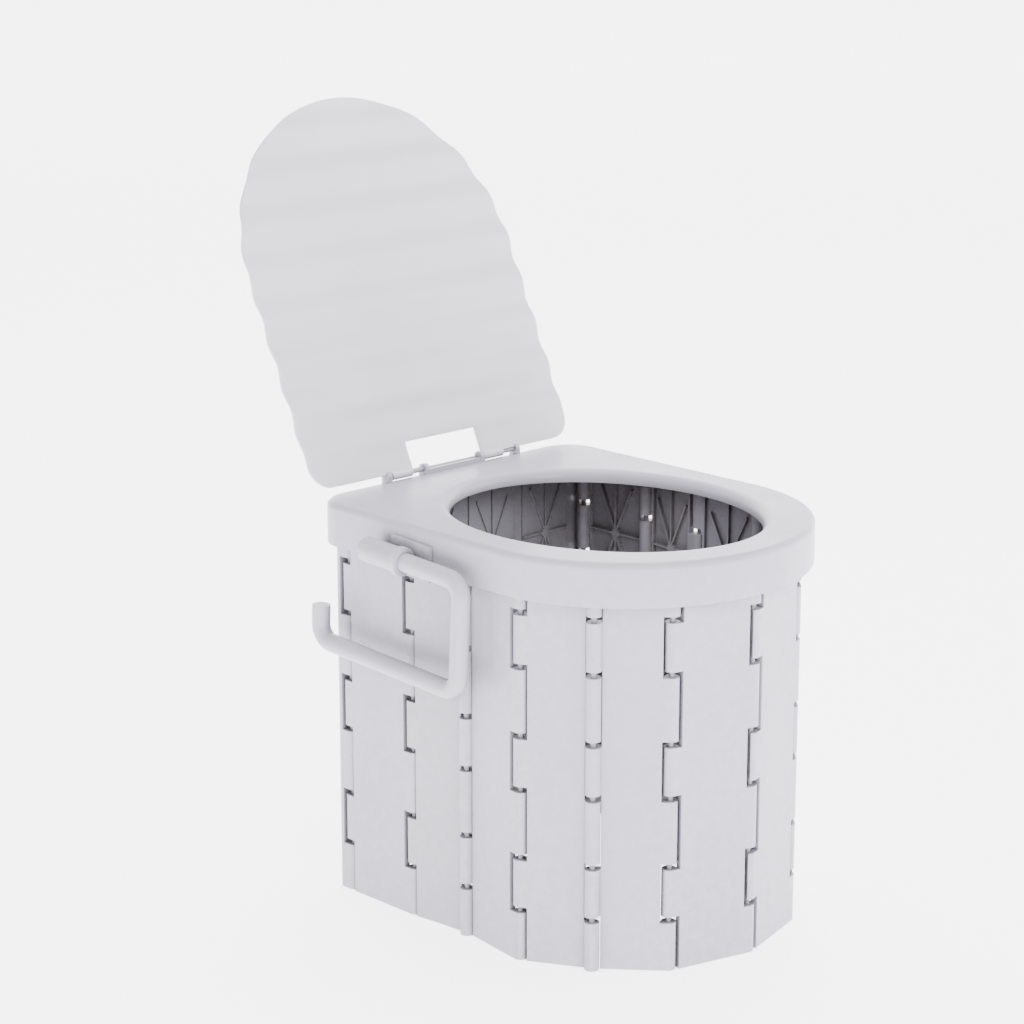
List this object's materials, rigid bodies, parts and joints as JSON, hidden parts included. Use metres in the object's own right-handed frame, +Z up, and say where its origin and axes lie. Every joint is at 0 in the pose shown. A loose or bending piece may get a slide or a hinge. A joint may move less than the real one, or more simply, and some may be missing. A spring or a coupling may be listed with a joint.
{
  "type": "portable camp toilet",
  "caption": "Portable camp toilet: a ring of hinged plastic panels that folds, with a lift-off seat, a hinged waved lid and a swivelling roll holder.",
  "frame": {"origin": "centre of the footprint on the floor", "axes": "+Z up, the front of the seat towards -Y, the lid's hinge at +Y, the roll holder at -X"},
  "size_m": [0.3018, 0.4653, 0.5917],
  "materials": {
    "wall_panel": "satin moulded plastic with fine grain",
    "hinge_pin": "plain plastic rod",
    "seat": "satin moulded plastic",
    "lid": "satin moulded plastic, softly waved",
    "lid_pin": "plain plastic rod",
    "holder": "satin moulded plastic"
  },
  "bodies": {
    "rear_wall": {"rear_wall": "wall_panel", "left_pin_a": "hinge_pin"},
    "left_panel_1": {"left_panel_1": "wall_panel", "left_pin_b": "hinge_pin"},
    "left_panel_2": {"left_panel_2": "wall_panel", "left_pin_c": "hinge_pin"},
    "left_panel_3": {"left_panel_3": "wall_panel", "left_pin_d": "hinge_pin"},
    "left_panel_4": {"left_panel_4": "wall_panel", "left_pin_e": "hinge_pin"},
    "left_panel_5": {"left_panel_5": "wall_panel", "left_pin_f": "hinge_pin"},
    "left_panel_6": {"left_panel_6": "wall_panel", "front_pin_g": "hinge_pin"},
    "right_panel_1": {"right_panel_1": "wall_panel", "right_pin_a": "hinge_pin"},
    "right_panel_2": {"right_panel_2": "wall_panel", "right_pin_b": "hinge_pin"},
    "right_panel_3": {"right_panel_3": "wall_panel", "right_pin_c": "hinge_pin"},
    "right_panel_4": {"right_panel_4": "wall_panel", "right_pin_d": "hinge_pin"},
    "right_panel_5": {"right_panel_5": "wall_panel", "right_pin_e": "hinge_pin"},
    "right_panel_6": {"right_panel_6": "wall_panel", "right_pin_f": "hinge_pin"},
    "seat": {"seat": "seat", "lid_pin_left": "lid_pin", "lid_pin_right": "lid_pin", "holder_bracket": "holder"},
    "lid": {"lid": "lid"},
    "roll_bar": {"roll_bar": "holder"}
  },
  "joints": [
    {"name": "wall_fold", "type": "hinge", "parent": "rear_wall", "child": "left_panel_1", "pos_m": [-0.12628, 0.149, 0.15], "axis": [0, 0, 1], "range_deg": [0, 69.36]},
    {"name": "left_hinge_b", "type": "hinge", "parent": "left_panel_1", "child": "left_panel_2", "pos_m": [-0.12628, 0.079, 0.15], "axis": [0, 0, 1], "range_deg": [-2.81, 0]},
    {"name": "left_hinge_c", "type": "hinge", "parent": "left_panel_2", "child": "left_panel_3", "pos_m": [-0.12628, 0.0215, 0.15], "axis": [0, 0, 1], "range_deg": [-166.38, 0]},
    {"name": "left_hinge_d", "type": "hinge", "parent": "left_panel_3", "child": "left_panel_4", "pos_m": [-0.12867, -0.03795, 0.15], "axis": [0, 0, 1], "range_deg": [0, 141.58]},
    {"name": "left_hinge_e", "type": "hinge", "parent": "left_panel_4", "child": "left_panel_5", "pos_m": [-0.10654, -0.08885, 0.15], "axis": [0, 0, 1], "range_deg": [-174.83, 0]},
    {"name": "left_hinge_f", "type": "hinge", "parent": "left_panel_5", "child": "left_panel_6", "pos_m": [-0.06568, -0.12642, 0.15], "axis": [0, 0, 1], "range_deg": [0, 146.42]},
    {"name": "right_hinge_a", "type": "hinge", "parent": "rear_wall", "child": "right_panel_1", "pos_m": [0.12628, 0.149, 0.15], "axis": [0, 0, 1], "range_deg": [-69.41, 0]},
    {"name": "right_hinge_b", "type": "hinge", "parent": "right_panel_1", "child": "right_panel_2", "pos_m": [0.12628, 0.079, 0.15], "axis": [0, 0, 1], "range_deg": [0, 2.81]},
    {"name": "right_hinge_c", "type": "hinge", "parent": "right_panel_2", "child": "right_panel_3", "pos_m": [0.12628, 0.0215, 0.15], "axis": [0, 0, 1], "range_deg": [0, 166.38]},
    {"name": "right_hinge_d", "type": "hinge", "parent": "right_panel_3", "child": "right_panel_4", "pos_m": [0.12867, -0.03795, 0.15], "axis": [0, 0, 1], "range_deg": [-141.58, 0]},
    {"name": "right_hinge_e", "type": "hinge", "parent": "right_panel_4", "child": "right_panel_5", "pos_m": [0.10654, -0.08885, 0.15], "axis": [0, 0, 1], "range_deg": [0, 174.83]},
    {"name": "right_hinge_f", "type": "hinge", "parent": "right_panel_5", "child": "right_panel_6", "pos_m": [0.06568, -0.12642, 0.15], "axis": [0, 0, 1], "range_deg": [-146.42, 0]},
    {"name": "seat_lift", "type": "slide", "parent": "rear_wall", "child": "seat", "axis": [0, 0, 1], "range_m": [0, 0.12]},
    {"name": "lid_hinge", "type": "hinge", "parent": "seat", "child": "lid", "pos_m": [0, 0.1775, 0.314], "axis": [1, 0, 0], "range_deg": [0, 115.4]},
    {"name": "holder_swivel", "type": "hinge", "parent": "seat", "child": "roll_bar", "pos_m": [-0.152, 0.065, 0.2865], "axis": [0, 0.9986, 0.0523], "range_deg": [-4, 100]}
  ],
  "couplings": [
    {"joint": "left_hinge_b", "follows": "wall_fold", "ratio": -0.03979},
    {"joint": "left_hinge_c", "follows": "wall_fold", "ratio": -2.3981},
    {"joint": "left_hinge_d", "follows": "wall_fold", "ratio": 2.0405},
    {"joint": "left_hinge_e", "follows": "wall_fold", "ratio": -2.5199},
    {"joint": "left_hinge_f", "follows": "wall_fold", "ratio": 2.1103},
    {"joint": "right_hinge_a", "follows": "wall_fold", "ratio": -1},
    {"joint": "right_hinge_b", "follows": "wall_fold", "ratio": 0.03979},
    {"joint": "right_hinge_c", "follows": "wall_fold", "ratio": 2.3981},
    {"joint": "right_hinge_d", "follows": "wall_fold", "ratio": -2.0405},
    {"joint": "right_hinge_e", "follows": "wall_fold", "ratio": 2.5199},
    {"joint": "right_hinge_f", "follows": "wall_fold", "ratio": -2.1103}
  ]
}
